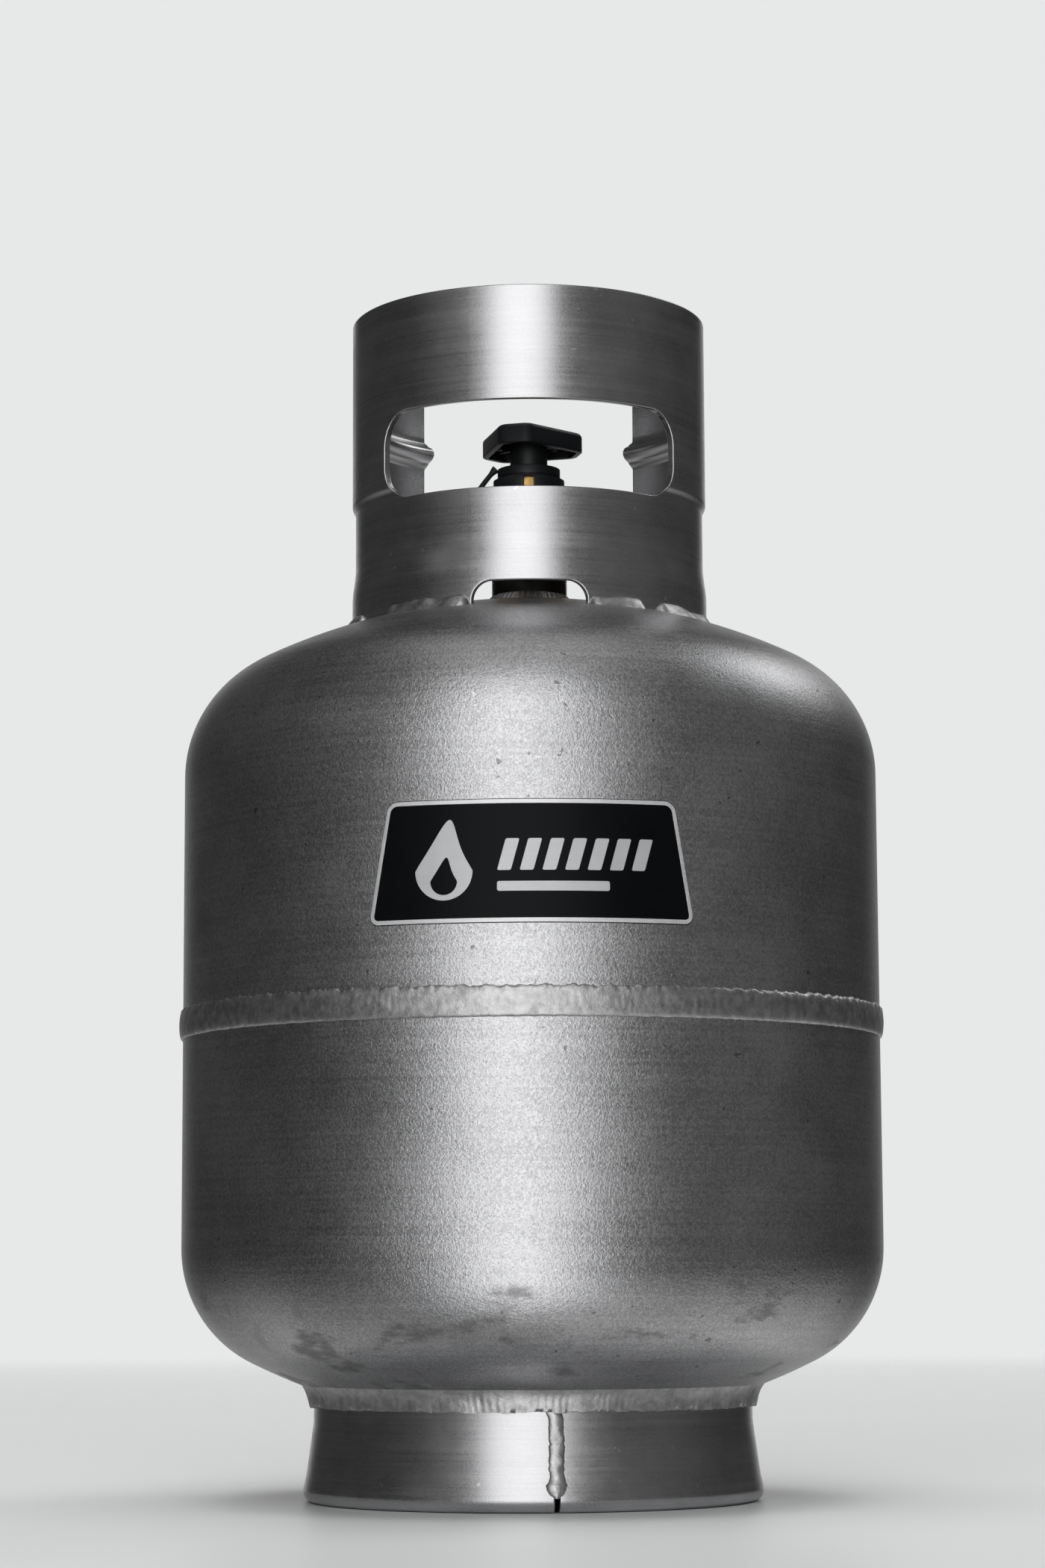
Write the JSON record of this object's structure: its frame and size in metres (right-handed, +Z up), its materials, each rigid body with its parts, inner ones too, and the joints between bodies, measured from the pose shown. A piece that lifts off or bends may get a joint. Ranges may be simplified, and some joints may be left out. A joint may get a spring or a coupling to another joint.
{
  "type": "propane cylinder",
  "caption": "Upright welded aluminium propane cylinder with guard collar, foot ring, handwheel valve and float-type overfill stop.",
  "frame": {"origin": "centre of the foot ring on the floor", "axes": "+Z up along the cylinder's axis, -Y the front with the nameplate and hand window, +Y the way the valve's outlet faces"},
  "size_m": [0.3138, 0.3138, 0.527],
  "materials": {
    "aluminium_skin": "satin blasted",
    "weld_metal": "as welded",
    "nameplate": "black printed gloss with a bare edge",
    "brass": "machined",
    "black_plastic": "moulded satin",
    "float_plastic": "moulded",
    "white_nylon": "machined",
    "rubber": "moulded",
    "steel": "zinc plated"
  },
  "bodies": {
    "cylinder": {"upper_shell": "aluminium_skin", "lower_shell": "aluminium_skin", "girth_weld": "weld_metal", "valve_spud": "aluminium_skin", "spud_weld": "weld_metal", "collar": "aluminium_skin", "collar_welds": "weld_metal", "foot_ring": "aluminium_skin", "foot_ring_weld": "weld_metal", "foot_seam_weld": "weld_metal", "nameplate": "nameplate", "valve_body": "brass", "bonnet": "brass", "stem_seals": "rubber", "bonnet_shroud": "black_plastic", "outlet_seat_ring": "brass", "outlet_seal": "rubber", "outlet_spring": "steel", "relief_spring": "steel", "relief_nut": "brass", "relief_cap": "black_plastic", "level_tube": "steel", "stop_housing": "brass", "float_pin": "steel"},
    "spindle": {"spindle": "brass", "handwheel": "black_plastic", "handwheel_washer": "steel", "handwheel_screw": "steel"},
    "seat": {"seat_plug": "brass", "seat_disc": "white_nylon"},
    "outlet_check": {"outlet_poppet": "brass"},
    "relief_check": {"relief_poppet": "brass", "relief_seal": "rubber"},
    "bleeder": {"bleed_screw": "brass"},
    "float": {"float_arm": "steel", "overfill_float": "float_plastic"},
    "stop": {"stop_piston": "brass"},
    "dust_plug": {"dust_plug": "black_plastic", "plug_tether": "black_plastic"}
  },
  "joints": [
    {"name": "handwheel_turn", "type": "hinge", "parent": "cylinder", "child": "spindle", "pos_m": [0, 0, 0.46], "axis": [0, 0, 1], "range_deg": [0, 720]},
    {"name": "seat_lift", "type": "slide", "parent": "spindle", "child": "seat", "axis": [0, 0, 1], "range_m": [0, 0.003]},
    {"name": "outlet_push", "type": "slide", "parent": "cylinder", "child": "outlet_check", "axis": [0, -1, 0], "range_m": [0, 0.004], "stiffness_N_per_m": 600, "springref_m": -0.005, "deforming": ["outlet_spring"]},
    {"name": "relief_lift", "type": "slide", "parent": "cylinder", "child": "relief_check", "axis": [0, -1, 0], "range_m": [0, 0.0022], "stiffness_N_per_m": 5000, "springref_m": -0.006, "deforming": ["relief_spring"]},
    {"name": "bleed_turn", "type": "hinge", "parent": "cylinder", "child": "bleeder", "pos_m": [0.02, 0, 0.42163], "axis": [1, 0, 0], "range_deg": [0, 360]},
    {"name": "float_swing", "type": "hinge", "parent": "cylinder", "child": "float", "pos_m": [0, 0, 0.35203], "axis": [1, 0, 0], "range_deg": [0, 55]},
    {"name": "stop_lift", "type": "slide", "parent": "cylinder", "child": "stop", "axis": [0, 0, 1], "range_m": [0, 0.003]},
    {"name": "plug_pull", "type": "slide", "parent": "cylinder", "child": "dust_plug", "axis": [0, 1, 0], "range_m": [0, 0.045]}
  ],
  "couplings": [
    {"joint": "seat_lift", "follows": "handwheel_turn", "m_per_rad": 0.0002387},
    {"joint": "stop_lift", "follows": "float_swing", "m_per_rad": 0.003125}
  ]
}
